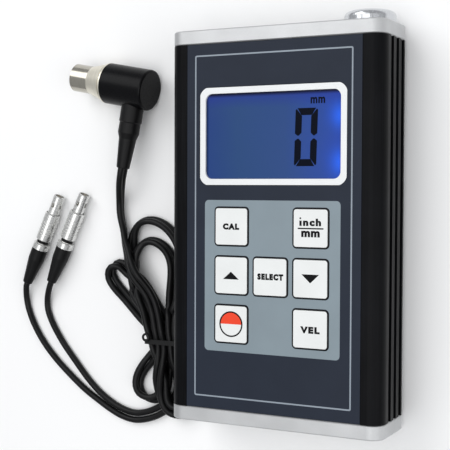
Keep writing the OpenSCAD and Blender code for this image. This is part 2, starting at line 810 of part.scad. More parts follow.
module probe_body() {
    color("#1a1a1c") at_probe() difference() {
        probe_turned([
            [probe_bore_r, probe_front], [probe_r, probe_front], [probe_r, probe_back - probe_edge_r],
            [probe_r - 0.3 * probe_edge_r, probe_back - 0.3 * probe_edge_r],
            [probe_r - probe_edge_r, probe_back], [0, probe_back],
            [0, probe_back - probe_wall], [probe_bore_r, probe_back - probe_wall]
        ]);
        translate([boot_s, 0, 0]) rotate([90, 0, 0]) cylinder(h = 2 * probe_r, r = boot_plug_r + screw_gap);
    }
}

// Half rounds above and below the barrier
module probe_halves(start, length, r) {
    difference() {
        probe_rod(start, length, r);
        translate([start - 1, -probe_r, -barrier_t / 2]) cube([length + 2, 2 * probe_r, barrier_t]);
    }
}

module delay_lines() {
    color("#c9b88e") at_probe() probe_halves(0, delay_l, delay_r);
}

module sound_barrier() {
    color("#8a6a45") at_probe() intersection() {
        probe_rod(0, delay_l + crystal_t, delay_r);
        translate([-1, -probe_r, -barrier_t / 2]) cube([probe_back, 2 * probe_r, barrier_t]);
    }
}

module crystals() {
    color("#d8d2c0") at_probe() probe_halves(delay_l, crystal_t, delay_r);
}

module probe_backing() {
    start = delay_l + crystal_t;
    color("#55504a") at_probe() probe_rod(start, probe_front + spigot_l - start, delay_r);
}

// Sleeve, step and long taper; the end of the sleeve is cut to the round body
module probe_boot() {
    step_at = probe_r + 8.5;
    ring_at = probe_r + 5;
    seat = probe_r / 2;
    color("#202022") at_probe() translate([boot_s, 0, 0]) {
        difference() {
            rotate([90, 0, 0]) rotate_extrude() polygon([
                [0, seat], [boot_r, seat], [boot_r, ring_at - 0.3], [boot_r - 0.25, ring_at],
                [boot_r - 0.2, step_at], [boot_r - 0.85, step_at + 2],
                [boot_tip_r, boot_reach - 0.2], [boot_tip_r - 0.2, boot_reach], [0, boot_reach]
            ]);
            translate([-boot_s, 0, 0]) probe_rod(0, probe_back + 1, probe_r + screw_gap / 2);
        }
        rotate([90, 0, 0]) translate([0, 0, probe_bore_r])
            cylinder(h = probe_r + 1 - probe_bore_r, r = boot_plug_r);
    }
}

// Pieces of a plug are drawn along +X from the tip
module at_plug(tip) {
    translate([tip[0], tip[1], plug_nut_r]) rotate([0, 0, plug_angle]) children();
}

module plug_turned(outline) {
    along_x() rotate_extrude() polygon(outline);
}

// Nose with its latch windows, and the barrel that the sleeve slides on
module plug_nose(tip) {
    shoulder = plug_nose_l + 0.8;
    color("#d0d2d5") at_plug(tip) difference() {
        plug_turned([
            [plug_bore_r, 0], [plug_nose_r - 0.15, 0], [plug_nose_r, 0.2], [plug_nose_r, shoulder],
            [plug_barrel_r, shoulder], [plug_barrel_r, plug_nut_start + 0.5 * plug_nut_l],
            [0, plug_nut_start + 0.5 * plug_nut_l], [0, insulator_start + insulator_l],
            [plug_bore_r, insulator_start + insulator_l]
        ]);
        for (turn = [0 : 90 : 270])
            rotate([turn, 0, 0]) translate([3.6, plug_nose_r, 0]) cube([1.6, 1, 1], center = true);
    }
}

// Release sleeve with a grip of flat-bottomed grooves
module plug_sleeve(tip) {
    bore_r = plug_barrel_r + sleeve_gap;
    mouth_r = plug_nose_r + sleeve_gap;
    mouth_l = 0.8 + sleeve_gap + fit_gap;
    edge = 0.25;
    grip_start = plug_nose_l + 3;
    grip_pitch = 1.1;
    grips = 5;
    color("#c3c5c8") at_plug(tip) difference() {
        plug_turned([
            [mouth_r, plug_nose_l], [sleeve_r - edge, plug_nose_l], [sleeve_r, plug_nose_l + edge],
            [sleeve_r, sleeve_end - edge], [sleeve_r - edge, sleeve_end], [bore_r, sleeve_end],
            [bore_r, plug_nose_l + mouth_l], [mouth_r, plug_nose_l + mouth_l]
        ]);
        for (k = [0 : grips - 1])
            translate([grip_start + k * grip_pitch, 0, 0]) along_x() difference() {
                cylinder(h = 0.5, r = sleeve_r + 1);
                translate([0, 0, -1]) cylinder(h = 3, r = sleeve_r - 0.2);
            }
    }
}

module plug_insulator(tip) {
    color("#f2f2ee") at_plug(tip) difference() {
        translate([insulator_start, 0, 0]) along_x() cylinder(h = insulator_l, r = plug_bore_r);
        along_x() cylinder(h = plug_l, r = pin_r);
    }
}

module plug_pin(tip) {
    pin_start = 0.8;
    color("#d4b45a") at_plug(tip) translate([pin_start, 0, 0])
        along_x() cylinder(h = insulator_start + insulator_l - pin_start, r = pin_r);
}

// Nut with spanner flats, turned on to the barrel
module plug_nut(tip) {
    color("#cbcdd0") at_plug(tip) difference() {
        plug_turned([
            [plug_barrel_r, plug_nut_start], [plug_nut_r - 0.2, plug_nut_start], [plug_nut_r, plug_nut_start + 0.2],
            [plug_nut_r, plug_boot_start], [0, plug_boot_start], [0, plug_nut_start + 0.5 * plug_nut_l],
            [plug_barrel_r, plug_nut_start + 0.5 * plug_nut_l]
        ]);
        for (side = [-1, 1])
            translate([plug_nut_start + 1.4, side * (plug_nut_r + 0.75), 0]) cube([1, 2, 6], center = true);
    }
}

// Rubber boot: straight behind the nut, then a taper down to the cable
module plug_boot(tip) {
    straight_l = 0.3 * plug_boot_l;
    edge = 0.2;
    color("#1b1b1d") at_plug(tip) translate([plug_boot_start, 0, 0]) plug_turned([
        [0, 0], [plug_boot_r - edge, 0], [plug_boot_r, edge], [plug_boot_r, straight_l],
        [plug_boot_tip_r, plug_boot_l - edge], [plug_boot_tip_r - edge, plug_boot_l], [0, plug_boot_l]
    ]);
}

module lead(route) {
    color("#2a2b2d") sweep(route, cable_d / 2, 8);
}

// Straight sides of a loop, which end a little inside its two round ends
module loop_sides(p, r, q, s) {
    inset = 0.97;
    way = atan2(q[1] - p[1], q[0] - p[0]);
    lean = acos((r - s) / norm(q - p));
    left = inset * [cos(way + lean), sin(way + lean)];
    right = inset * [cos(way - lean), sin(way - lean)];
    polygon([p + r * left, q + s * left, q + s * right, p + r * right]);
}

// Waist and the loops that spread from it
module hank_outline() {
    translate(waist) circle(waist_r);
    for (loop = hank_loops) {
        translate(loop[0]) circle(loop[1]);
        loop_sides(waist, waist_r, loop[0], loop[1]);
    }
}

// Middle of the waist inside the tie
module tie_core(length, gap) {
    translate([waist[0], waist[1], hank_h / 2])
        cube([tie_core_w + 2 * gap, length, hank_h - 2 * tie_t + 2 * gap], center = true);
}

module cable_hank() {
    color("#2a2b2d") {
        difference() {
            linear_extrude(hank_h) hank_outline();
            translate([waist[0], waist[1], hank_h / 2])
                cube([6 * waist_r, tie_w + 2 * fit_gap, hank_h + 2], center = true);
        }
        tie_core(tie_w + 4 * fit_gap, 0);
    }
}

// Strip round the waist, with the eye of its twisted end
module cable_tie() {
    color("#17171a") {
        difference() {
            translate([waist[0], waist[1], hank_h / 2])
                cube([tie_core_w + 2 * tie_t, tie_w, hank_h], center = true);
            tie_core(tie_w + 2, screw_gap / 2);
        }
        translate([waist[0] - tie_eye_at, waist[1], hank_h]) {
            translate([0, tie_w / 4 + tie_eye_r, tie_wire_r + 0.02])
                rotate_extrude() translate([tie_eye_r, 0]) circle(tie_wire_r, $fn = 24);
            translate([0, tie_w / 4, -tie_t / 2]) cylinder(h = tie_t / 2 + tie_wire_r, r = tie_wire_r, $fn = 24);
        }
    }
}

housing();
top_cap();
bottom_cap();
cap_screws();
front_panel();
lcd_frame();
lcd_glass();
lcd_backlight();
lcd_connectors();
key_cap(KEY_CAL);  // key_cal
key_cap(KEY_UNIT);  // key_unit
key_cap(KEY_UP);  // key_up
key_cap(KEY_SELECT);  // key_select
key_cap(KEY_DOWN);  // key_down
key_cap(KEY_POWER);  // key_power
key_cap(KEY_VELOCITY);  // key_velocity
circuit_board();
chips();
key_domes();
battery_tray();
cell(0);  // cell_1
cell(1);  // cell_2
cell(2);  // cell_3
cell(3);  // cell_4
battery_contacts();
battery_springs();
battery_cover();
zero_disc();
socket(0);  // socket_1
socket(1);  // socket_2
socket_nuts();
socket_insulators();
socket_contacts();
probe_nose();
probe_body();
delay_lines();
sound_barrier();
crystals();
probe_backing();
probe_boot();
plug_nose(plug_1_tip);  // plug_1_nose
plug_sleeve(plug_1_tip);  // plug_1_sleeve
plug_insulator(plug_1_tip);  // plug_1_insulator
plug_pin(plug_1_tip);  // plug_1_pin
plug_nut(plug_1_tip);  // plug_1_nut
plug_boot(plug_1_tip);  // plug_1_boot
plug_nose(plug_2_tip);  // plug_2_nose
plug_sleeve(plug_2_tip);  // plug_2_sleeve
plug_insulator(plug_2_tip);  // plug_2_insulator
plug_pin(plug_2_tip);  // plug_2_pin
plug_nut(plug_2_tip);  // plug_2_nut
plug_boot(plug_2_tip);  // plug_2_boot
lead(lead_1_route);  // lead_1
lead(lead_2_route);  // lead_2
cable_hank();
cable_tie();
lead(tail_1_route);  // tail_1
lead(tail_2_route);  // tail_2
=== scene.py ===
import json
import math

import bmesh
import bpy
import numpy as np
from mathutils import Matrix, Vector, geometry


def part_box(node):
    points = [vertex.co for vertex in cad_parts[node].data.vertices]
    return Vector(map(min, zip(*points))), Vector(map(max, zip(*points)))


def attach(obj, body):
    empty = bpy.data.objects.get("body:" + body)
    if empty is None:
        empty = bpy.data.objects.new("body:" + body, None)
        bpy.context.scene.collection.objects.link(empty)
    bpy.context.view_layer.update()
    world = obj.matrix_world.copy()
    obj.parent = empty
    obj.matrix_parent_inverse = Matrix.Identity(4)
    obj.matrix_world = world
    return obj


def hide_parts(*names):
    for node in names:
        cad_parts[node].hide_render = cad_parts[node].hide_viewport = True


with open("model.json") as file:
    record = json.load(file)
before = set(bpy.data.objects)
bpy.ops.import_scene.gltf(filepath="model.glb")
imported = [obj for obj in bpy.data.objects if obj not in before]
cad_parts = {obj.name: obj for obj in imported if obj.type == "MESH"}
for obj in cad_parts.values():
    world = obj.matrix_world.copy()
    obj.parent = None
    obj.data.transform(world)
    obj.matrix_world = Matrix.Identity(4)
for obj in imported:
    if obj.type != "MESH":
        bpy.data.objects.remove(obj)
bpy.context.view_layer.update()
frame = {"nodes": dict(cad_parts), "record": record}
nodes = frame["nodes"]
scene = bpy.context.scene
MM = 0.001


# Camera, as fitted to the photograph: its place in mm and its focal length in pixels

PHOTO_PIXELS = 450.0
FOCAL_PIXELS = 1055.66
SENSOR_WIDTH = 36.0
CAMERA_PLACE = (132.776, 11.832, 311.718)
CAMERA_RIGHT = (0.88960, 0.00360, -0.45672)
CAMERA_UP = (-0.01881, 0.99941, -0.02876)


def place_camera():
    right = Vector(CAMERA_RIGHT)
    back = right.cross(Vector(CAMERA_UP)).normalized()
    up = back.cross(right).normalized()
    right = up.cross(back)
    data = bpy.data.cameras.new("camera")
    data.sensor_width = SENSOR_WIDTH
    data.lens = FOCAL_PIXELS * SENSOR_WIDTH / PHOTO_PIXELS
    data.clip_start = 0.01
    camera = bpy.data.objects.new("camera", data)
    scene.collection.objects.link(camera)
    turn = Matrix((right, up, back)).transposed().to_4x4()
    camera.matrix_world = Matrix.Translation(Vector(CAMERA_PLACE) * MM) @ turn
    scene.camera = camera


# Colours and materials

NOISE_LOW = 0.3
NOISE_HIGH = 0.7
# The Mix node has sockets of one name for each kind of value: these are its colours
MIX_A = 6
MIX_B = 7
MIX_RESULT = 2


def shade(code, factor=1.0):
    """Linear colour of a hexadecimal code, made lighter or darker by a factor."""
    out = []
    for k in (0, 2, 4):
        c = int(code[k:k + 2], 16) / 255
        c = c / 12.92 if c <= 0.04045 else ((c + 0.055) / 1.055) ** 2.4
        out.append(min(1.0, c * factor))
    return out + [1.0]


class Surface:
    """A Principled surface whose colour, roughness and bump come from procedural nodes."""

    def __init__(self, name, roughness, metallic=0.0, specular=0.5):
        self.material = bpy.data.materials.new(name)
        self.material.use_nodes = True
        self.tree = self.material.node_tree
        self.shader = self.tree.nodes["Principled BSDF"]
        self.set("Roughness", roughness)
        self.set("Metallic", metallic)
        self.set("Specular IOR Level", specular)
        self.set("IOR", 1.5)
        coordinates = self.tree.nodes.new("ShaderNodeTexCoord").outputs
        self.where = coordinates["Object"]
        self.normal = coordinates["Normal"]

    def set(self, socket, value):
        self.shader.inputs[socket].default_value = value

    def feed(self, socket, value):
        """Links another node's output to a socket, or sets a constant."""
        if isinstance(value, bpy.types.NodeSocket):
            self.tree.links.new(value, socket)
        else:
            socket.default_value = value

    def stretch(self, x, y, z):
        node = self.tree.nodes.new("ShaderNodeMapping")
        node.inputs["Scale"].default_value = (x, y, z)
        self.feed(node.inputs["Vector"], self.where)
        return node.outputs["Vector"]

    def noise(self, scale, detail=3.0, vector=None):
        node = self.tree.nodes.new("ShaderNodeTexNoise")
        node.inputs["Scale"].default_value = scale
        node.inputs["Detail"].default_value = detail
        node.inputs["Roughness"].default_value = 0.55
        self.feed(node.inputs["Vector"], vector or self.where)
        return node.outputs["Fac"]

    def ramp(self, factor, stops):
        node = self.tree.nodes.new("ShaderNodeValToRGB")
        bar = node.color_ramp
        while len(bar.elements) < len(stops):
            bar.elements.new(0.5)
        for element, (place, colour) in zip(bar.elements, stops):
            element.position = place
            element.color = colour
        self.feed(node.inputs["Fac"], factor)
        return node.outputs["Color"]

    def tones(self, factor, dark, light, start=NOISE_LOW, end=NOISE_HIGH):
        return self.ramp(factor, [(start, dark), (end, light)])

    def span(self, factor, low, high, start=NOISE_LOW, end=NOISE_HIGH):
        """Maps start and end of a factor to low and high."""
        node = self.tree.nodes.new("ShaderNodeMapRange")
        node.inputs["From Min"].default_value = start
        node.inputs["From Max"].default_value = end
        node.inputs["To Min"].default_value = low
        node.inputs["To Max"].default_value = high
        self.feed(node.inputs["Value"], factor)
        return node.outputs["Result"]

    def math(self, kind, a, b):
        node = self.tree.nodes.new("ShaderNodeMath")
        node.operation = kind
        self.feed(node.inputs[0], a)
        self.feed(node.inputs[1], b)
        return node.outputs["Value"]

    def mix(self, factor, a, b, kind="MIX"):
        node = self.tree.nodes.new("ShaderNodeMix")
        node.data_type = "RGBA"
        node.blend_type = kind
        self.feed(node.inputs["Factor"], factor)
        self.feed(node.inputs[MIX_A], a)
        self.feed(node.inputs[MIX_B], b)
        return node.outputs[MIX_RESULT]

    def axes(self, vector):
        node = self.tree.nodes.new("ShaderNodeSeparateXYZ")
        self.feed(node.inputs["Vector"], vector)
        return node.outputs

    def colour(self, socket):
        self.feed(self.shader.inputs["Base Color"], socket)

    def rough(self, socket):
        self.feed(self.shader.inputs["Roughness"], socket)

    def bump(self, height, strength, distance):
        node = self.tree.nodes.new("ShaderNodeBump")
        node.inputs["Strength"].default_value = strength
        node.inputs["Distance"].default_value = distance
        self.feed(node.inputs["Height"], height)
        self.feed(self.shader.inputs["Normal"], node.outputs["Normal"])


def grainy(name, code, roughness, vary=0.08, grain=2200.0, bump=0.15, depth=0.00003, **more):
    """Moulded or printed surface: slow drift of colour, fine grain in its bump and roughness."""
    spread = 0.06
    s = Surface(name, roughness, **more)
    slow = s.noise(90.0, detail=2.0)
    s.colour(s.tones(slow, shade(code, 1 - vary), shade(code, 1 + vary)))
    fine = s.noise(grain, detail=4.0)
    s.rough(s.span(fine, roughness - spread, roughness + spread))
    s.bump(fine, bump, depth)
    return s.material


def turned(name, code, roughness, vary=0.1, scale=(1.0, 1.0, 1.0), grain=5200.0, bump=0.1, metallic=1.0):
    """Metal with fine lines of machining or drawing along one way."""
    s = Surface(name, roughness, metallic)
    lines = s.noise(grain, vector=s.stretch(*scale))
    slow = s.noise(120.0, detail=2.0)
    both = s.math("MULTIPLY", lines, slow)
    s.colour(s.tones(both, shade(code, 1 - vary), shade(code, 1 + vary), start=0.12, end=0.42))
    s.rough(s.span(lines, roughness - 0.07, roughness + 0.09))
    s.bump(lines, bump, 0.00002)
    return s.material


def anodised_black():
    """Black with fine drawing lines along the housing."""
    s = Surface("black_anodised", roughness=0.36, metallic=0.1, specular=0.07)
    lines = s.noise(2600.0, vector=s.stretch(1.0, 0.02, 1.0))
    slow = s.noise(60.0)
    both = s.math("MULTIPLY", lines, slow)
    s.colour(s.tones(both, shade("08080a"), shade("121316"), start=0.1, end=0.45))
    s.rough(s.span(lines, 0.28, 0.44))
    s.bump(lines, strength=0.12, distance=0.00003)
    return s.material


def satin_aluminium():
    """Fine-blasted aluminium."""
    s = Surface("satin_aluminium", roughness=0.52, metallic=0.85)
    blast = s.noise(5200.0, detail=4.0)
    slow = s.noise(70.0, detail=2.0)
    s.colour(s.tones(slow, shade("c0c1c2"), shade("cdcecf")))
    s.rough(s.span(blast, 0.45, 0.6))
    s.bump(blast, strength=0.1, distance=0.00003)
    return s.material


def display_blue():
    """Blue display, lit by two lamps at its right edge, with painted shadow of its frame along the top,
    left and right edges.
    """
    half_width = 0.0223
    lamp_x = 0.0225
    lamp_reach = 0.0032
    lamps = ((0.0334, 0.0034), (0.0198, 0.0036))
    s = Surface("display_blue", roughness=0.2, specular=0.12)
    at = s.axes(s.where)
    across = s.span(at["X"], 0.0, 1.0, -half_width, half_width)
    cloud = s.math("MULTIPLY", s.math("SUBTRACT", s.noise(55.0, detail=2.0), 0.5), 0.2)
    blues = ((0.0, "2b4786"), (0.25, "305083"), (0.6, "304f8a"), (0.85, "2b4da0"), (1.0, "274bb4"))
    base = s.ramp(s.math("ADD", across, cloud), [(place, shade(code)) for place, code in blues])
    base = s.mix(s.span(at["Y"], 0.0, 0.75, 0.0365, 0.0412), base, shade("24369a"))
    for lamp_y, reach in lamps:
        dx = s.math("MULTIPLY", s.math("SUBTRACT", at["X"], lamp_x), 1 / lamp_reach)
        dy = s.math("MULTIPLY", s.math("SUBTRACT", at["Y"], lamp_y), 1 / reach)
        square = s.math("ADD", s.math("MULTIPLY", dx, dx), s.math("MULTIPLY", dy, dy))
        spot = s.math("POWER", 2.718, s.math("MULTIPLY", square, -1.0))
        base = s.mix(spot, base, shade("2a6cff"))
    # Painted shadow of the frame: darker along the top, left and right edges of the display
    top = s.span(at["Y"], 1.0, 0.12, 0.0398, 0.0407)
    left = s.span(at["X"], 0.35, 1.0, -half_width, -0.0214)
    right = s.span(at["X"], 1.0, 0.45, 0.0216, half_width)
    shadow = s.math("MINIMUM", s.math("MINIMUM", top, left), right)
    lit = s.mix(1.0, base, shadow, "MULTIPLY")
    s.colour(s.mix(1.0, lit, (0.45, 0.45, 0.45, 1.0), "MULTIPLY"))
    s.feed(s.shader.inputs["Emission Color"], lit)
    s.set("Emission Strength", 0.42)
    return s.material


def nickel_nose():
    """Nickel, polished on the probe's nose and satin on the cone behind it."""
    tip_x, tip_y = -0.0818, 0.0504
    way = math.radians(-10.8)
    nose_length = 0.007
    blend = 0.0002
    s = Surface("nickel_nose", roughness=0.3, metallic=0.88)
    at = s.axes(s.where)
    along = s.math("ADD", s.math("MULTIPLY", s.math("SUBTRACT", at["X"], tip_x), math.cos(way)),
                   s.math("MULTIPLY", s.math("SUBTRACT", at["Y"], tip_y), math.sin(way)))
    cone = s.span(along, 0.0, 1.0, nose_length - blend, nose_length + blend)
    lines = s.noise(4200.0, vector=s.stretch(1.0, 0.04, 0.04))
    polished = s.tones(lines, shade("aaa69b"), shade("c0bcb1"))
    satin = s.tones(lines, shade("dcd7c8"), shade("ebe7da"))
    s.colour(s.mix(cone, polished, satin))
    s.rough(s.math("ADD", s.span(cone, 0.16, 0.4, 0.0, 1.0), s.span(lines, -0.04, 0.05)))
    s.bump(lines, strength=0.05, distance=0.00002)
    return s.material


# Colour of the painted shade in the gaps between the keys and their holes
GAP_SHADE_COLOUR = "080b10"


def key_with_painted_shade():
    """White key with painted shade on its chamfer and sides, dark as the painted shade round it."""
    s = Surface("white_key", roughness=0.44)
    white = s.tones(s.noise(90.0, detail=2.0), shade("e6e8e7", 0.975), shade("e6e8e7", 1.025))
    # Painted shade: faces that do not face up, the chamfer and sides, get the dark colour of the gap's
    # shade
    upright = s.span(s.axes(s.normal)["Z"], 0.0, 1.0, 0.8, 0.95)
    s.colour(s.mix(upright, shade(GAP_SHADE_COLOUR), white))
    fine = s.noise(3000.0, detail=4.0)
    s.rough(s.span(fine, 0.38, 0.5))
    s.bump(fine, strength=0.1, distance=0.00003)
    return s.material


def cable_black():
    """Smooth black jacket with a slight drift of colour."""
    s = Surface("cable_jacket", roughness=0.34, specular=0.2)
    slow = s.noise(220.0, detail=2.0)
    fine = s.noise(3800.0)
    s.colour(s.tones(slow, shade("0d0d0e"), shade("171718")))
    s.rough(s.span(fine, 0.28, 0.46))
    s.bump(fine, strength=0.12, distance=0.00002)
    return s.material


def board_green():
    """Green laminate with a pattern of tracks."""
    s = Surface("board_laminate", roughness=0.35)
    tracks = s.tree.nodes.new("ShaderNodeTexBrick")
    tracks.inputs["Scale"].default_value = 240.0
    tracks.inputs["Mortar Size"].default_value = 0.09
    tracks.inputs["Color1"].default_value = shade("1d5a38")
    tracks.inputs["Color2"].default_value = shade("226540")
    tracks.inputs["Mortar"].default_value = shade("3b8a57")
    s.feed(tracks.inputs["Vector"], s.where)
    s.colour(tracks.outputs["Color"])
    s.rough(s.span(s.noise(900.0), 0.28, 0.45))
    return s.material


M = {
    "black_anodised": anodised_black(),
    "satin_aluminium": satin_aluminium(),
    "screw_steel": turned("screw_steel", "7c7e82", 0.36, scale=(1.0, 1.0, 0.2)),
    "panel_film": grainy("panel_film", "262c38", 0.42, vary=0.05, grain=3400.0, bump=0.12, specular=0.13),
    "white_frame": grainy("white_frame", "e8eaeb", 0.3, vary=0.02, grain=2600.0, bump=0.06),
    "display_glass": display_blue(),
    "diffuser": grainy("diffuser", "eef1f4", 0.5, vary=0.02),
    "contact_rubber": grainy("contact_rubber", "c65a7a", 0.6, grain=4000.0),
    "white_key": key_with_painted_shade(),
    "board_laminate": board_green(),
    "chip_resin": grainy("chip_resin", "1c1c1e", 0.55, grain=5000.0),
    "spring_steel": turned("spring_steel", "c9c6be", 0.28, scale=(0.1, 1.0, 1.0)),
    "black_plastic": grainy("black_plastic", "1b1c1e", 0.5, grain=1900.0, bump=0.25, depth=0.00005),
    "cell_jacket": grainy("cell_jacket", "2f62a8", 0.3, vary=0.06, metallic=0.4),
    "polished_steel": turned("polished_steel", "d2d4d7", 0.2, vary=0.06, scale=(1.0, 0.08, 1.0),
                             metallic=0.85),
    "plated_brass": turned("plated_brass", "dcdcda", 0.25, vary=0.06, scale=(0.42, 0.91, 0.05),
                           grain=3600.0, bump=0.05, metallic=0.8),
    "bare_brass": turned("bare_brass", "c9b06a", 0.3),
    "insulator": grainy("insulator", "efefe8", 0.5),
    "gold_contact": turned("gold_contact", "d8b25a", 0.22),
    "nickel_nose": nickel_nose(),
    "probe_plastic": grainy("probe_plastic", "0d0d0f", 0.3, vary=0.12, grain=2400.0, bump=0.08,
                            specular=0.1),
    "delay_resin": grainy("delay_resin", "b79a63", 0.25, vary=0.12),
    "cork": grainy("cork", "7a5a38", 0.75, vary=0.25, grain=3000.0, bump=0.5),
    "silvered_crystal": turned("silvered_crystal", "d2cdbb", 0.35),
    "backing_resin": grainy("backing_resin", "4b443c", 0.6),
    "black_rubber": grainy("black_rubber", "0e0e0f", 0.42, vary=0.15, grain=2600.0, bump=0.2,
                           depth=0.00004, specular=0.18),
    "cable_jacket": cable_black(),
    "tie_plastic": grainy("tie_plastic", "0e0e0f", 0.4, vary=0.12, specular=0.3),
}
for part in frame["record"]["subparts"]:
    data = nodes[part["node"]].data
    data.materials.clear()
    data.materials.append(M[part["material_slot"]])

# Painted shade: dark sheets over the gaps between the keys and their holes
GAP_SHADE_PAINT = grainy("painted_gap_shade", GAP_SHADE_COLOUR, 0.42, vary=0.06, grain=4200.0, bump=0.05, specular=0.13)
BLACK_INK = grainy("black_ink", "0c0d0f", 0.45, vary=0.06, grain=4200.0, bump=0.05, specular=0.1)
LINE_INK = grainy("line_ink", "8b95a0", 0.42, vary=0.05, grain=4200.0, bump=0.05)
FIELD_INK = grainy("field_ink", "7f8d95", 0.42, vary=0.035, grain=3400.0, bump=0.1)
RED_INK = grainy("red_ink", "ea3a06", 0.42, vary=0.06, grain=4200.0, bump=0.05)
SEGMENT_INK = grainy("segment_ink", "050a18", 0.3, vary=0.08, grain=3000.0, bump=0.03, specular=0.05)


# Prints: thin closed sheets on the faces that carry them. All measures are in mm.

PRINT = 0.02


def rounded_outline(w, h, r, cx=0.0, cy=0.0):
    steps = 8
    points = []
    for sx, sy, start in ((1, 1, 0), (-1, 1, 90), (-1, -1, 180), (1, -1, 270)):
        for k in range(steps + 1):
            a = math.radians(start + 90 * k / steps)
            x = cx + sx * (w / 2 - r) + r * math.cos(a)
            y = cy + sy * (h / 2 - r) + r * math.sin(a)
            points.append((x, y))
    return points


def circle_outline(r, cx, cy, end=360, steps=48):
    """A circle, or a sector's chord and arc up to an end in degrees."""
    count = steps if end == 360 else steps + 1
    angles = [math.radians(end * k / steps) for k in range(count)]
    return [(cx + r * math.cos(a), cy + r * math.sin(a)) for a in angles]


def add_mesh(name, mesh, material, body):
    """Makes a piece of a finished mesh."""
    bmesh.ops.recalc_face_normals(mesh, faces=mesh.faces)
    data = bpy.data.meshes.new(name)
    mesh.to_mesh(data)
    mesh.free()
    data.materials.append(material)
    piece = bpy.data.objects.new(name, data)
    scene.collection.objects.link(piece)
    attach(piece, body)
    return piece


def print_piece(name, shapes, z, material, body, thick=PRINT):
    """A closed sheet for each shape: one loop, or for a band two loops with as many points."""
    mesh = bmesh.new()
    for loops in shapes:
        low = [[mesh.verts.new((x * MM, y * MM, z * MM)) for x, y in loop] for loop in loops]
        high = [[mesh.verts.new((x * MM, y * MM, (z + thick) * MM)) for x, y in loop] for loop in loops]
        count = len(loops[0])
        for k in range(count):
            j = (k + 1) % count
            mesh.faces.new((low[0][k], low[0][j], high[0][j], high[0][k]))
            if len(loops) == 2:
                mesh.faces.new((low[1][j], low[1][k], high[1][k], high[1][j]))
                mesh.faces.new((high[0][k], high[0][j], high[1][j], high[1][k]))
                mesh.faces.new((low[0][j], low[0][k], low[1][k], low[1][j]))
        if len(loops) == 1:
            mesh.faces.new(high[0])
            mesh.faces.new(list(reversed(low[0])))
    add_mesh(name, mesh, material, body)


def covered(points, ends):
    """Corners and triangles of the area inside the outlines, also where a bold outline crosses itself."""
    with_hull = 0
    merge = 0.001
    found = geometry.delaunay_2d_cdt([Vector(p) for p in points], ends.tolist(), [], with_hull, merge)
    corners, triangles = np.array([c[:] for c in found[0]]), found[2]
    x, y = np.array([corners[t].mean(0) for t in triangles]).T[:, :, None]
    (ax, ay), (bx, by) = points[ends[:, 0]].T, points[ends[:, 1]].T
    rises = (ay <= y) & (by > y)
    falls = (by <= y) & (ay > y)
    crossing = ax + (y - ay) * (bx - ax) / np.where(by == ay, 1.0, by - ay)
    turns = np.where(crossing > x, rises.astype(int) - falls, 0).sum(1)
    return corners, [t for t, n in zip(triangles, turns) if n]


def sheet_piece(name, points, ends, z, material, body, thick=PRINT):
    """A closed sheet over the area inside the outlines. Each row of ends joins two of the points."""
    corners, triangles = covered(points, ends)
    mesh = bmesh.new()
    low, high = {}, {}
    for i in sorted({i for triangle in triangles for i in triangle}):
        x, y = corners[i]
        low[i] = mesh.verts.new((x * MM, y * MM, z * MM))
        high[i] = mesh.verts.new((x * MM, y * MM, (z + thick) * MM))
    rim = {}
    for a, b, c in triangles:
        mesh.faces.new((high[a], high[b], high[c]))
        mesh.faces.new((low[c], low[b], low[a]))
        for i, j in ((a, b), (b, c), (c, a)):
            if (j, i) in rim:
                del rim[j, i]
            else:
                rim[i, j] = True
    for i, j in rim:
        mesh.faces.new((low[i], low[j], high[j], high[i]))
    add_mesh(name, mesh, material, body)


def grown(points, ends, distance):
    """The outlines moved outwards by the same distance, with sharp corners cut short."""
    before, after = np.zeros((2, len(points)), int)
    before[ends[:, 1]] = ends[:, 0]
    after[ends[:, 0]] = ends[:, 1]
    ways = np.array([points - points[before], points[after] - points])
    ways /= np.maximum(np.linalg.norm(ways, axis=2), 1e-9)[:, :, None]
    bend = np.maximum(1.0 + (ways[0] * ways[1]).sum(1), 0.5)
    across = (ways[0] + ways[1]) / bend[:, None]
    a, b = points[ends[:, 0]], points[ends[:, 1]]
    turn = np.sign((a[:, 0] * b[:, 1] - a[:, 1] * b[:, 0]).sum())
    return points + turn * distance * np.column_stack([across[:, 1], -across[:, 0]])


def word(name, text, middle, size, z, material, body, bold, spacing=1.12, thick=PRINT):
    """A word with its middle and size given. Its strokes grow by bold, in parts of the font's size."""
    data = bpy.data.curves.new(name, "FONT")
    data.body = text
    data.align_x = "CENTER"
    data.align_y = "CENTER"
    data.size = 1.0
    data.space_character = spacing
    data.resolution_u = 3
    data.fill_mode = "NONE"
    line = bpy.data.objects.new(name, data)
    scene.collection.objects.link(line)
    bpy.context.view_layer.update()
    shape = bpy.data.meshes.new_from_object(line.evaluated_get(bpy.context.evaluated_depsgraph_get()))
    bpy.data.objects.remove(line)
    points = np.array([v.co[:2] for v in shape.vertices])
    ends = np.array([e.vertices[:] for e in shape.edges])
    bpy.data.meshes.remove(shape)
    points = grown(points, ends, bold)
    low, high = points.min(0), points.max(0)
    points = (points - (low + high) / 2) * size / (high - low) + middle
    sheet_piece(name, points, ends, z, material, body, thick)


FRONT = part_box("front_panel")[1][2] / MM
KEY_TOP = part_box("key_cal")[1][2] / MM
GLASS_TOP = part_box("lcd_glass")[1][2] / MM
DISPLAY_Y = (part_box("lcd_frame")[0][1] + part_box("lcd_frame")[1][1]) / 2 / MM

# The line round the panel, with its corner radii outside and inside
LINE_SIZE = (52.0, 105.9)
LINE_WIDTH = 0.45
LINE_Y = 0.15
LINE_R = (0.6, 0.3)

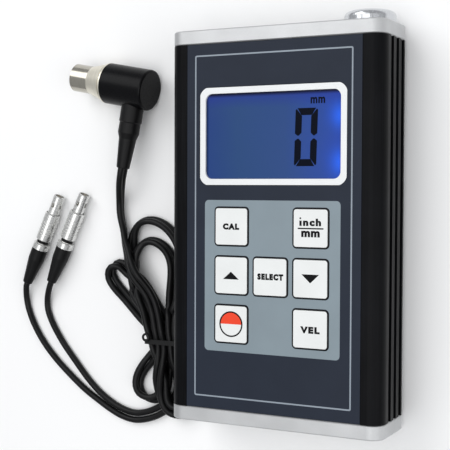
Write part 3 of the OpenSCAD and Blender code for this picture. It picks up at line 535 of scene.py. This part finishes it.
# Keys by the middle of each, then width, height and corner radius of a key and of its hole in the panel
KEYS = {"cal": (-13.1, 0.3), "unit": (13.1, 0.3), "up": (-13.1, -14.7), "select": (0.0, -14.7),
        "down": (13.1, -14.7), "power": (-13.1, -29.7), "velocity": (13.1, -29.7)}
KEY = (11.15, 11.55, 1.0)
HOLE = (11.75, 12.15, 1.3)

# The painted shade over the gap round a key reaches past the hole, and keeps clear of the key inside it
GAP_SHADE_REACH = 0.07
CLEAR = 0.04

# The grey field: left, right, low and high, and its corner radius
FIELD = (-22.4, 22.4, -38.3, 8.4)
FIELD_R = 1.3

# Name, text, key, offset from the key's middle, width and height, bold and spacing of each word. The inch
# has an i without a dot, because its own dot runs into a bold stem.
KEY_WORDS = [
    ("word_cal", "CAL", "cal", (-0.1, 0.0), (5.6, 1.95), 0.085, 1.3),
    ("word_inch", "\u0131nch", "unit", (-0.1, 1.75), (6.9, 2.25), 0.06, 1.25),
    ("word_mm", "mm", "unit", (0.0, -1.7), (5.9, 1.9), 0.055, 1.12),
    ("word_select", "SELECT", "select", (0.1, 0.05), (8.6, 1.95), 0.085, 1.3),
    ("word_velocity", "VEL", "velocity", (0.0, -0.2), (6.2, 2.05), 0.075, 1.3),
]


def widened(size, margin, x, y):
    """Outline of a key or hole, moved outwards by a margin."""
    return rounded_outline(size[0] + 2 * margin, size[1] + 2 * margin, size[2] + margin, x, y)


def panel_prints():
    w, h = LINE_SIZE
    outer = rounded_outline(w, h, LINE_R[0], 0, LINE_Y)
    inner = rounded_outline(w - 2 * LINE_WIDTH, h - 2 * LINE_WIDTH, LINE_R[1], 0, LINE_Y)
    print_piece("panel_line", [[outer, inner]], FRONT, LINE_INK, "gauge")
    left, right, low, high = FIELD
    loops = [rounded_outline(right - left, high - low, FIELD_R, (left + right) / 2, (low + high) / 2)]
    loops += [widened(HOLE, GAP_SHADE_REACH, x, y)[::-1] for x, y in KEYS.values()]
    count = len(loops[0])
    ends = [(k * count + i, k * count + (i + 1) % count) for k in range(len(loops)) for i in range(count)]
    points = np.array(sum(loops, []))
    sheet_piece("key_field", points, np.array(ends), FRONT, FIELD_INK, "gauge")
    # Painted shade: a dark ring over the gap between each key and its hole
    for name, (x, y) in KEYS.items():
        ring = [widened(HOLE, GAP_SHADE_REACH, x, y), widened(KEY, CLEAR, x, y)]
        print_piece("gap_shade_ring_" + name, [ring], FRONT, GAP_SHADE_PAINT, "gauge")


def key_sign(name, key, loops, material=BLACK_INK, thick=PRINT):
    """One sign on a key."""
    print_piece(name, [loops], KEY_TOP, material, key + "_key", thick)


def key_prints():
    for name, text, key, (dx, dy), size, bold, spacing in KEY_WORDS:
        x, y = KEYS[key]
        word(name, text, (x + dx, y + dy), size, KEY_TOP, BLACK_INK, key + "_key", bold,
             spacing)
    x, y = KEYS["unit"]
    key_sign("inch_dot", "unit", [circle_outline(0.28, x - 3.27, y + 2.92, steps=16)])
    key_sign("unit_bar", "unit", [rounded_outline(8.2, 0.4, 0.1, x, y - 0.1)])
    x, y = KEYS["up"]
    key_sign("arrow_up", "up", [[(x - 2.75, y - 1.2), (x + 2.65, y - 1.2), (x - 0.05, y + 1.15)]])
    x, y = KEYS["down"]
    key_sign("arrow_down", "down", [[(x - 2.8, y + 1.3), (x, y - 1.3), (x + 2.8, y + 1.3)]])
    x, y = KEYS["power"]
    key_sign("power_ring", "power", [circle_outline(3.98, x, y), circle_outline(3.52, x, y)])
    key_sign("power_half", "power", [circle_outline(3.53, x, y, end=180, steps=36)], RED_INK, thick=0.018)


# The nought: left, right, low and high
DIGIT = (7.45, 14.6, 18.65, 35.85)
SEGMENT_THICK = 0.03


def nought_segments():
    """The six dark segments of a slanted seven-segment nought."""
    left, right, low, high = DIGIT
    middle = (low + high) / 2
    stroke = 2.1
    cut = 0.06
    corner = 0.55
    mitre = 0.25
    slant = 0.03
    top = [(left + corner + cut, high), (right - corner - cut, high),
           (right - stroke + mitre - cut, high - stroke), (left + stroke - mitre + cut, high - stroke)]
    bottom = [(left + stroke - mitre + cut, low + stroke), (right - stroke + mitre - cut, low + stroke),
              (right - corner - cut, low), (left + corner + cut, low)]
    upper_left = [(left, high - corner), (left + 0.35, high - 0.25),
                  (left + stroke, high - stroke - mitre), (left + stroke, middle + 1.3),
                  (left + stroke / 2 + 0.2, middle + 0.45), (left + stroke / 2 - 0.2, middle + 0.45),
                  (left, middle + 1.1)]
    segments = [top, bottom]
    for mirror_x in (False, True):
        for mirror_y in (False, True):
            segment = [(left + right - x if mirror_x else x, 2 * middle - y if mirror_y else y)
                       for x, y in upper_left]
            if mirror_x != mirror_y:
                segment.reverse()
            segments.append(segment)
    return [[(x + slant * (y - middle), y) for x, y in segment] for segment in segments]


def display_prints():
    nought = [[segment] for segment in nought_segments()]
    print_piece("digit_nought", nought, GLASS_TOP, SEGMENT_INK, "gauge", SEGMENT_THICK)
    word("unit_shown", "mm", (14.75, 38.05), (4.6, 1.9), GLASS_TOP, SEGMENT_INK, "gauge",
         bold=0.035, thick=SEGMENT_THICK)


# Half width and half height of the display's frame, of its window, and of the fillets' seat in the window
FRAME_HALF = (24.3, 15.1)
WINDOW_HALF = (22.3, 13.1)
SEATED_HALF = (22.33, 13.13)
FRAME_R = 3.4
WINDOW_R = 1.4
FILLET_R = 2.2


def corner_arc(half, r, arc):
    return [(half[0] - r + r * c, half[1] - r + r * s) for c, s in arc]


def frame_corners():
    """Rounds the frame's corners: outside by a film as the panel's, inside by small fillets."""
    lap = 0.1
    arc = [(math.cos(math.radians(9 * k)), math.sin(math.radians(9 * k))) for k in range(11)]
    x, y = FRAME_HALF
    film = [(x + lap, y - FRAME_R), (x + lap, y + lap), (x - FRAME_R, y + lap)]
    film += corner_arc(FRAME_HALF, FRAME_R, arc[::-1])
    fillet = corner_arc(SEATED_HALF, WINDOW_R, arc) + corner_arc(WINDOW_HALF, FILLET_R, arc[::-1])
    corners = ((1, 1), (-1, 1), (-1, -1), (1, -1))
    films = [[[(sx * a, DISPLAY_Y + sy * b) for a, b in film]] for sx, sy in corners]
    fillets = [[[(sx * a, DISPLAY_Y + sy * b) for a, b in fillet]] for sx, sy in corners]
    print_piece("frame_corner_film", films, FRONT, M["panel_film"], "gauge")
    print_piece("frame_corner_fillets", fillets, GLASS_TOP, M["white_frame"], "gauge",
                FRONT - GLASS_TOP + 0.01)


# Dark rings put in the gaps that the plugs' sleeves slide into, as painted shade of those gaps: tips of
# the plugs in mm, and distance from the tip and radius of each corner of a ring's section

PLUG_TIPS = {"plug_1_ring": (-92.1, 9.0), "plug_2_ring": (-81.4, 9.7)}
PLUG_WAY = math.radians(-114.7)
PLUG_HEIGHT = 2.95
RING_PROFILE = [(17.36, 1.96), (17.36, 2.05), (17.42, 2.1), (18.42, 2.1), (18.48, 2.05), (18.48, 1.96)]
RING_TURNS = 48


def plug_gap_shade_rings():
    made = []
    for name, (tip_x, tip_y) in PLUG_TIPS.items():
        mesh = bmesh.new()
        tip = Matrix.Translation((tip_x * MM, tip_y * MM, PLUG_HEIGHT * MM))
        place = tip @ Matrix.Rotation(PLUG_WAY, 4, "Z")
        rings = []
        for k in range(RING_TURNS):
            a = 2 * math.pi * k / RING_TURNS
            rings.append([mesh.verts.new(place @ (Vector((along, r * math.cos(a), r * math.sin(a))) * MM))
                          for along, r in RING_PROFILE])
        for k in range(RING_TURNS):
            this, following = rings[k], rings[(k + 1) % RING_TURNS]
            for j in range(len(RING_PROFILE)):
                i = (j + 1) % len(RING_PROFILE)
                mesh.faces.new((this[j], this[i], following[i], following[j]))
        # Painted shade: a black ring stands in for the shade inside the gap
        made.append(add_mesh(name, mesh, M["black_rubber"], "gauge"))
    return made


# The two cables. BOOT_END and TAILS repeat the CAD model's points, in metres.

CABLE = 0.0022
BOOT_END = [
    [(-0.062887, 0.018796, 0.00803), (-0.063074, 0.017814, 0.00803)],
    [(-0.062887, 0.018796, 0.00577), (-0.063074, 0.017814, 0.00577)],
]
TAILS = [
    [(-0.049, -0.0642, 0.00115), (-0.0524, -0.0662, 0.00115), (-0.057, -0.0679, 0.00115),
     (-0.062, -0.0686, 0.00115), (-0.0673, -0.0676, 0.00115), (-0.072, -0.0656, 0.00115),
     (-0.0772, -0.0628, 0.00115), (-0.0825, -0.0597, 0.00115), (-0.0886, -0.0552, 0.00115),
     (-0.0952, -0.0497, 0.00115), (-0.1007, -0.0439, 0.00115), (-0.1052, -0.0372, 0.00115),
     (-0.1075, -0.0318, 0.00115), (-0.1079, -0.0285, 0.0016), (-0.1075, -0.0256, 0.0024),
     (-0.106997, -0.023389, 0.00295), (-0.106579, -0.02248, 0.00295)],
    [(-0.0496, -0.0616, 0.00115), (-0.0532, -0.0638, 0.00115), (-0.0572, -0.0654, 0.00115),
     (-0.0617, -0.0661, 0.00115), (-0.0667, -0.06515, 0.00115), (-0.0709, -0.0634, 0.00115),
     (-0.076, -0.0603, 0.00115), (-0.0809, -0.0561, 0.00115), (-0.087, -0.0495, 0.00115),
     (-0.0921, -0.0436, 0.00115), (-0.0967, -0.0368, 0.00115), (-0.0987, -0.0321, 0.00115),
     (-0.0986, -0.0283, 0.0016), (-0.0975, -0.0252, 0.0024), (-0.096297, -0.022689, 0.00295),
     (-0.095879, -0.02178, 0.00295)],
]

# The middle of the pair in mm, from the boot through the hank: seven passes through the tie at y = -40.
# The fourth number is the roll of the pair in degrees: -90 has cable_2 under cable_1, -180 beside it.
TIE_Y = -40
PAIR = [
    (-62.887, 18.796, 6.9, -90), (-63.074, 17.814, 6.9, -90), (-64.3, 14.3, 6.0, -95),
    (-66.5, 9.3, 4.2, -105), (-67.1, 5, 3.0, -110), (-66.5, 1, 2.8, -112), (-64.8, -4, 3.9, -120),
    (-62.2, -9.5, 5.4, -140), (-59.4, -15, 6.2, -158), (-56.2, -20.3, 5.8, -170),
    (-52.2, -27.2, 5.7, -180), (-49.9, -33.5, 5.4, -180), (-48.83, -40, 5.24, -180),
    (-48.7, -46, 5.2, -175), (-48.6, -52, 5.0, -165), (-48.6, -57, 4.8, -140),
    (-48.2, -60.6, 4.2, -120), (-46.8, -63.6, 2.9, -108), (-44.2, -65.3, 2.3, -105),
    (-41.2, -64.7, 2.3, -105), (-38.9, -62.2, 2.2, -108), (-37.7, -58, 2.2, -110),
    (-38.6, -51.5, 2.2, -118), (-41.2, -44.6, 2.4, -123), (-43.31, -40, 2.5, -123.6),
    (-47.2, -35.4, 2.0, -150), (-52.6, -29.2, 1.4, -175), (-57.4, -23.4, 1.2, -180),
    (-61.6, -18.3, 1.4, -180), (-64.9, -15, 1.7, -165), (-66.8, -14.2, 2.0, -140),
    (-68.7, -14.6, 2.2, -115), (-70.3, -15.9, 2.2, -90), (-71, -17.8, 2.2, -65),
    (-70.7, -19.8, 2.0, -40), (-69.4, -21.6, 1.7, -20), (-65.4, -25.9, 1.3, 0), (-60.2, -30.9, 1.2, 0),
    (-55.6, -35, 1.4, 0), (-52.5, -37.6, 1.5, 0), (-51.27, -40, 1.58, 0),
    (-51.9, -42.8, 1.5, 0), (-54.5, -46.1, 1.6, -10), (-57.4, -49.7, 1.9, -40), (-59.3, -53, 2.1, -60),
    (-59.8, -56, 2.2, -75), (-58.9, -58.4, 2.2, -90), (-57, -59.8, 2.2, -105),
    (-54.3, -60.2, 2.2, -120), (-51.6, -59.6, 2.2, -135), (-49.4, -57.4, 1.8, -150),
    (-48.7, -52, 1.2, -175), (-47.8, -46, 1.4, -180), (-46.37, -40, 1.58, -180),
    (-45.4, -35, 3.4, -175), (-44.2, -29.5, 3.6, -150), (-43.2, -24, 3.0, -120),
    (-42.3, -18, 2.4, -110), (-42.3, -11, 2.2, -106), (-44.4, -5.4, 2.2, -105),
    (-48.1, -1.4, 2.2, -105), (-51.6, 0.4, 2.2, -105), (-55.2, 1.0, 2.2, -105), (-58.6, 0.2, 2.2, -108),
    (-61, -2.2, 2.0, -125), (-62.2, -6, 1.5, -155), (-62.5, -10, 1.2, -175), (-62.3, -14, 2.0, -180),
    (-61, -19, 3.2, -180), (-58.2, -25.5, 3.9, -150), (-54.8, -33, 4.2, -95), (-51.88, -40, 4.33, -56),
    (-50.2, -45, 3.8, -100), (-48.7, -50, 3.4, -140), (-48.2, -54.5, 3.6, -125),
    (-48.1, -57.6, 4.2, -110), (-47.5, -59.8, 4.4, -105), (-45.9, -61.4, 4.3, -105),
    (-43.7, -62, 4.0, -105), (-41.5, -61.4, 3.6, -105), (-39.9, -59.8, 3.4, -105),
    (-39.4, -57.6, 3.3, -108), (-40.2, -53, 3.8, -125), (-42.2, -46, 4.8, -160),
    (-43.92, -40, 5.24, -180),
    (-44.8, -35.5, 5.0, -175), (-45.6, -30, 4.2, -150), (-46.2, -24.5, 3.0, -120),
    (-46, -18.8, 2.3, -106), (-45.9, -14, 2.2, -105), (-47.2, -10.2, 2.2, -105),
    (-50.6, -7.3, 2.2, -105), (-54.8, -6.2, 2.4, -105), (-58.6, -7.4, 3.0, -115),
    (-60.6, -10.6, 3.4, -140), (-60.8, -14.5, 3.6, -170), (-59.2, -20, 3.8, -180),
    (-55.4, -27, 3.6, -180), (-51, -34, 3.4, -180), (-47.6, -40, 3.41, -180),
    (-46.2, -45, 2.9, -180), (-44.6, -50, 1.6, -180), (-43.9, -54.5, 1.2, -180),
    (-44.4, -58.9, 1.1, -180), (-46.2, -61.8, 1.1, -180),
]

# Spacing of the points, half of the distance between the pair's middles, both in mm, and the y past which
# the boot holds the pair
POINT_STEP = 1.4
HALF_APART = 1.13
HELD_PAST_Y = 14
FREE_TAIL_POINTS = 4
SETTLE_STEPS = 260
PLUG_PARTS = ("nose", "sleeve", "insulator", "pin", "nut", "boot")


def spline(points, step):
    """Evenly spaced points on a centripetal curve through the given ones."""
    samples = 24
    p = np.array(points, float)
    p = np.vstack([2 * p[0] - p[1], p, 2 * p[-1] - p[-2]])
    out = []
    for a, b, c, d in zip(p[:-3], p[1:-2], p[2:-1], p[3:]):
        chords = [max(np.linalg.norm(v - u), 1e-9) ** 0.5 for u, v in ((a, b), (b, c), (c, d))]
        t = np.cumsum([0.0] + chords)
        for s in np.linspace(t[1], t[2], samples, endpoint=False):
            ab = (t[1] - s) / t[1] * a + s / t[1] * b
            bc = (t[2] - s) / (t[2] - t[1]) * b + (s - t[1]) / (t[2] - t[1]) * c
            cd = (t[3] - s) / (t[3] - t[2]) * c + (s - t[2]) / (t[3] - t[2]) * d
            abc = (t[2] - s) / t[2] * ab + s / t[2] * bc
            bcd = (t[3] - s) / (t[3] - t[1]) * bc + (s - t[1]) / (t[3] - t[1]) * cd
            out.append((t[2] - s) / (t[2] - t[1]) * abc + (s - t[1]) / (t[2] - t[1]) * bcd)
    out = np.array(out + [p[-2]])
    run = np.concatenate([[0], np.cumsum(np.linalg.norm(np.diff(out, axis=0), axis=1))])
    count = max(2, int(round(run[-1] / step)) + 1)
    even = np.linspace(0, run[-1], count)
    return np.column_stack([np.interp(even, run, out[:, k]) for k in range(3)])


def settle(chains, held, paired, d):
    """Relaxes the folded pair under its own weight until it lies on and beside itself."""
    fall, aim_pull, fairing, tension, web_pull, parting = 0.02, 0.03, 0.4, 0.25, 0.2, 0.35
    neighbours = 4
    sizes = [len(c) for c in chains]
    p = np.vstack(chains)
    aim = p.copy()
    move = (~np.concatenate(held)).astype(float)[:, None]
    owner = np.repeat(np.arange(len(chains)), sizes)
    order = np.concatenate([np.arange(n) for n in sizes])
    linked = (owner[1:] == owner[:-1])
    rest = np.linalg.norm(np.diff(p, axis=0), axis=1)
    near = (owner[:, None] == owner[None, :]) & (np.abs(order[:, None] - order[None, :]) < neighbours)
    inner = np.where(linked[3:] & linked[2:-1] & linked[1:-2] & linked[:-3])[0] + 2
    first = np.arange(paired)
    second = first + sizes[0]
    web = p[second] - p[first]
    for step in range(SETTLE_STEPS):
        # Weight and aim fade out over the second half, so that the contacts have the last word
        late = min(1.0, 2.0 * (1 - step / SETTLE_STEPS))
        p[:, 2:] -= fall * late * move
        p[:, :2] += aim_pull * late * (aim[:, :2] - p[:, :2]) * move
        fair = (4 * (p[inner - 1] + p[inner + 1]) - p[inner - 2] - p[inner + 2]) / 6 - p[inner]
        p[inner] += fairing * fair * move[inner]
        for _ in range(2):
            gap = p[1:] - p[:-1]
            long = np.linalg.norm(gap, axis=1)
            pull = np.where(linked, tension * (long - rest) / np.maximum(long, 1e-9), 0.0)[:, None] * gap
            p[:-1] += pull * move[:-1]
            p[1:] -= pull * move[1:]
            off = web_pull * (p[second] - p[first] - web)
            p[first] += off * move[first]
            p[second] -= off * move[second]
        for _ in range(2):
            square = (p ** 2).sum(1)
            far = square[:, None] + square[None, :] - 2 * p @ p.T
            i, j = np.where(np.triu((far < d * d) & ~near, 1))
            away = p[i] - p[j]
            dist = np.maximum(np.linalg.norm(away, axis=1), 1e-6)
            push = (parting * (d - dist) / dist)[:, None] * away
            np.add.at(p, i, push * move[i])
            np.add.at(p, j, -push * move[j])
        p[:, 2] = np.maximum(p[:, 2], d / 2)
    return np.split(p, np.cumsum(sizes)[:-1])


def cable_lines():
    """Points of the two cables in mm, settled between the boot, the tie and the tails, which hold them."""
    middle = spline([q[:3] for q in PAIR], POINT_STEP)
    at = [int(np.argmin(np.linalg.norm(middle - q[:3], axis=1))) for q in PAIR]
    roll = np.radians(np.interp(np.arange(len(middle)), at, [q[3] for q in PAIR]))
    way = np.gradient(middle, axis=0)
    side = np.column_stack([-way[:, 1], way[:, 0], np.zeros(len(way))])
    side /= np.linalg.norm(side, axis=1)[:, None]
    side = np.cos(roll)[:, None] * side + np.sin(roll)[:, None] * np.array([0, 0, 1.0])
    chains, held = [], []
    for k, sign in ((0, -1.0), (1, 1.0)):
        folded = middle + sign * HALF_APART * side
        folded[:2] = np.array(BOOT_END[k]) / MM
        tail_points = [tuple(np.array(q) / MM) for q in TAILS[k]]
        tail = spline([tuple(folded[-1])] + tail_points, POINT_STEP)[1:]
        line = np.vstack([folded, tail])
        stay = np.zeros(len(line), bool)
        stay[:len(folded)] = folded[:, 1] > HELD_PAST_Y
        stay[[i for i, q in zip(at, PAIR) if q[1] == TIE_Y]] = True
        stay[len(folded) + FREE_TAIL_POINTS:] = True
        chains.append(line)
        held.append(stay)
    return settle(chains, held, len(middle), CABLE / MM)


def cables(rings):
    for k, line in enumerate(cable_lines()):
        number = k + 1
        name = "cable_%d" % number
        data = bpy.data.curves.new(name, "CURVE")
        data.dimensions = "3D"
        data.bevel_depth = CABLE / 2
        data.bevel_resolution = 4
        data.use_fill_caps = True
        path = data.splines.new("POLY")
        path.points.add(len(line) - 1)
        path.points.foreach_set("co", np.column_stack([line * MM, np.ones(len(line))]).ravel())
        path.use_smooth = True
        piece = bpy.data.objects.new(name, data)
        scene.collection.objects.link(piece)
        data.materials.append(M["cable_jacket"])
        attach(piece, "gauge")
        carried = ["plug_%d_%s" % (number, part) for part in PLUG_PARTS]
        solids = ["lead_%d" % number, "tail_%d" % number]
        if number == 1:
            carried.append("cable_tie")
            solids.append("cable_hank")
        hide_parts(*solids)


# Stage: a pale floor, an even sky and three soft lights, each with its place, aim, size and power

FLOOR_HALF = 3.0
FLOOR_DROP = 0.00002
SKY_COLOUR = (0.95, 0.97, 1.0, 1.0)
SKY_STRENGTH = 0.4
LIGHTS = [
    ("key_light", (-0.45, 0.55, 0.75), (-0.02, 0, 0.01), (0.7, 0.7), 3.9),
    ("fill_light", (0.75, -0.15, 0.55), (0, 0, 0.01), (0.6, 0.9), 2.4),
    ("top_light", (0.05, -0.1, 1.1), (0, 0, 0), (0.9, 0.9), 4.6),
]


def stage():
    floor = Surface("floor", roughness=0.65, specular=0.2)
    floor.colour(floor.tones(floor.noise(6.0, detail=2.0), shade("f8f8f8"), shade("fbfbfb")))
    mesh = bmesh.new()
    bmesh.ops.create_grid(mesh, x_segments=2, y_segments=2, size=FLOOR_HALF)
    data = bpy.data.meshes.new("floor")
    mesh.to_mesh(data)
    mesh.free()
    data.materials.append(floor.material)
    piece = bpy.data.objects.new("floor", data)
    piece.location = (0, 0, -FLOOR_DROP)
    scene.collection.objects.link(piece)

    world = bpy.data.worlds.new("studio")
    scene.world = world
    world.use_nodes = True
    sky = world.node_tree.nodes["Background"]
    sky.inputs["Color"].default_value = SKY_COLOUR
    sky.inputs["Strength"].default_value = SKY_STRENGTH
    for name, at, aim, size, power in LIGHTS:
        light = bpy.data.lights.new(name, "AREA")
        light.shape = "RECTANGLE"
        light.size, light.size_y = size
        light.energy = power
        lamp = bpy.data.objects.new(name, light)
        lamp.location = at
        lamp.rotation_euler = (Vector(aim) - Vector(at)).to_track_quat("-Z", "Y").to_euler()
        scene.collection.objects.link(lamp)
    scene.view_settings.view_transform = "Standard"


place_camera()
stage()
panel_prints()
key_prints()
display_prints()
frame_corners()
cables(plug_gap_shade_rings())
